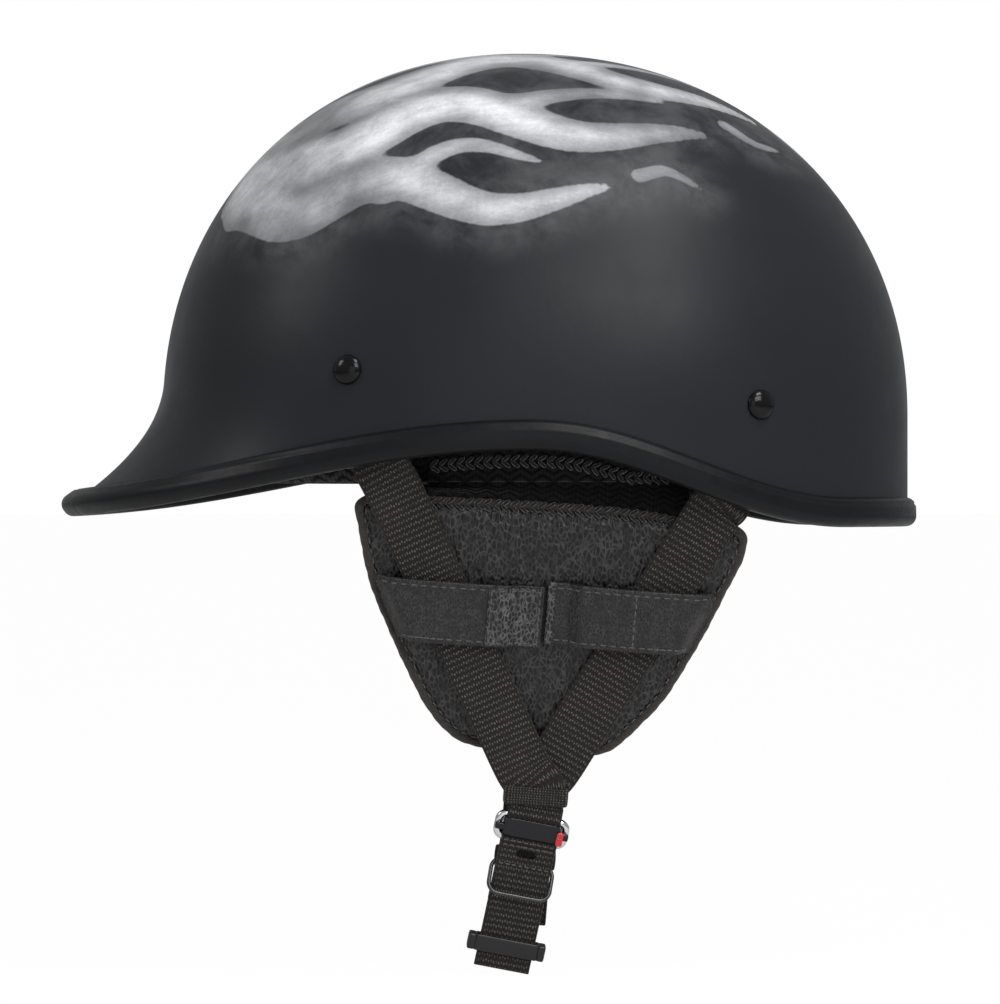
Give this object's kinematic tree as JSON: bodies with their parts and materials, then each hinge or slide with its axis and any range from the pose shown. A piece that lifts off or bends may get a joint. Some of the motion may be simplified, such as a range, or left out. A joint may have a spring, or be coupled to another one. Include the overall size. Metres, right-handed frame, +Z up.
{
  "type": "half shell motorcycle helmet",
  "caption": "Half shell helmet with a short peak, foam liner, padded ear flaps on swinging straps, steel ring and folding keeper tabs.",
  "frame": {"origin": "middle of the head opening at the level of the shell's rim, in the middle plane", "axes": "-X to the front, -Y to the wearer's left, +Z up through the crown"},
  "size_m": [0.3169, 0.2324, 0.3346],
  "materials": {
    "air_mesh": "black chevron air mesh",
    "binding_cloth": "brown-grey brushed binding tape",
    "black_plastic": "smooth black plastic",
    "black_wire": "gloss black wire",
    "bright_steel": "polished steel",
    "flap_leather": "grained black leather",
    "flap_lining": "brushed black cloth",
    "foam": "charcoal bead foam",
    "hook_tape": "black hook tape",
    "plain_steel": "plain steel",
    "release_red": "red plastic",
    "rivet_enamel": "gloss black enamel over steel",
    "shell_paint": "matte black paint with an airbrushed silver-grey blaze",
    "strap_rubber": "black rubber",
    "trim_rubber": "satin black extruded rubber",
    "webbing": "coarse ribbed black webbing"
  },
  "bodies": {
    "helmet": {"outer_shell": "shell_paint", "edge_trim": "trim_rubber", "impact_liner": "foam", "headband_pad": "air_mesh", "headband_hook_patches": "hook_tape", "crown_pad": "air_mesh", "crown_hook_patch": "hook_tape", "strap_rivets": "rivet_enamel", "rivet_washers": "plain_steel", "liner_edge_left": "air_mesh", "flap_hanger_left": "air_mesh", "strap_root_front_left": "webbing", "strap_root_rear_left": "webbing", "liner_edge_right": "air_mesh", "flap_hanger_right": "air_mesh", "strap_root_front_right": "webbing", "strap_root_rear_right": "webbing"},
    "left_side": {"strap_front_left": "webbing", "strap_rear_left": "webbing", "strap_sleeve_left": "webbing", "ear_flap_left": "flap_leather", "ear_flap_lining_left": "flap_lining", "flap_binding_left": "binding_cloth", "tab_hook_patch_left": "hook_tape", "strap_loop_left": "webbing"},
    "left_front_tab": {"keeper_tab_front_left": "flap_leather"},
    "left_rear_tab": {"keeper_tab_rear_left": "flap_leather"},
    "right_side": {"strap_front_right": "webbing", "strap_rear_right": "webbing", "strap_sleeve_right": "webbing", "ear_flap_right": "flap_leather", "ear_flap_lining_right": "flap_lining", "flap_binding_right": "binding_cloth", "tab_hook_patch_right": "hook_tape"},
    "right_front_tab": {"keeper_tab_front_right": "flap_leather"},
    "right_rear_tab": {"keeper_tab_rear_right": "flap_leather"},
    "ring": {"buckle_ring": "bright_steel", "ring_plate": "black_plastic"},
    "release": {"release_tab": "release_red"},
    "strap_end": {"short_strap": "webbing"},
    "keeper": {"strap_keeper_ring": "black_wire"},
    "slider": {"strap_slider": "black_plastic"},
    "chin": {"chin_strap": "webbing"},
    "chin_loop": {"chin_strap_loop": "strap_rubber"}
  },
  "joints": [
    {"name": "left_side_swing", "type": "hinge", "parent": "helmet", "child": "left_side", "pos_m": [0.004, -0.0945, 0.0015], "axis": [-0.9962, -0.0422, 0.076], "range_deg": [-18, 55]},
    {"name": "right_side_swing", "type": "hinge", "parent": "helmet", "child": "right_side", "pos_m": [0.004, 0.0945, 0.0015], "axis": [0.9962, -0.0422, -0.076], "range_deg": [-18, 55]},
    {"name": "left_front_tab_open", "type": "hinge", "parent": "left_side", "child": "left_front_tab", "pos_m": [-0.05884, -0.08717, -0.03262], "axis": [-0.0831, 0.2046, -0.9753], "range_deg": [0, 105]},
    {"name": "right_front_tab_open", "type": "hinge", "parent": "right_side", "child": "right_front_tab", "pos_m": [-0.05884, 0.08717, -0.03262], "axis": [0.0831, 0.2046, 0.9753], "range_deg": [0, 105]},
    {"name": "left_rear_tab_open", "type": "hinge", "parent": "left_side", "child": "left_rear_tab", "pos_m": [0.05891, -0.08218, -0.04161], "axis": [0.0831, -0.2046, 0.9753], "range_deg": [0, 105]},
    {"name": "right_rear_tab_open", "type": "hinge", "parent": "right_side", "child": "right_rear_tab", "pos_m": [0.05891, 0.08218, -0.04161], "axis": [-0.0831, -0.2046, -0.9753], "range_deg": [0, 105]},
    {"name": "ring_swing", "type": "hinge", "parent": "left_side", "child": "ring", "pos_m": [-0.00305, -0.07173, -0.11124], "axis": [-0.9787, -0.0668, 0.1943], "range_deg": [-50, 35]},
    {"name": "strap_end_swing", "type": "hinge", "parent": "ring", "child": "strap_end", "pos_m": [-0.00468, -0.07015, -0.11891], "axis": [-0.9787, -0.0668, 0.1943], "range_deg": [-60, 40]},
    {"name": "release_tab_lift", "type": "hinge", "parent": "ring", "child": "release", "pos_m": [0.00534, -0.07419, -0.12177], "axis": [0.9787, 0.0668, -0.1943], "range_deg": [0, 80]},
    {"name": "keeper_ring_slide", "type": "slide", "parent": "strap_end", "child": "keeper", "axis": [-0.2038, 0.1979, -0.9588], "range_m": [-0.002, 0.004]},
    {"name": "strap_slider_slide", "type": "slide", "parent": "strap_end", "child": "slider", "axis": [0.2038, -0.1979, 0.9588], "range_m": [-0.003, 0.008]},
    {"name": "chin_strap_swing", "type": "hinge", "parent": "right_side", "child": "chin", "pos_m": [-0.00277, 0.07244, -0.10786], "axis": [0.9962, -0.0422, -0.076], "range_deg": [-45, 45]},
    {"name": "chin_loop_slide", "type": "slide", "parent": "chin", "child": "chin_loop", "axis": [-0.0831, -0.2046, -0.9753], "range_m": [-0.012, 0.012]}
  ]
}
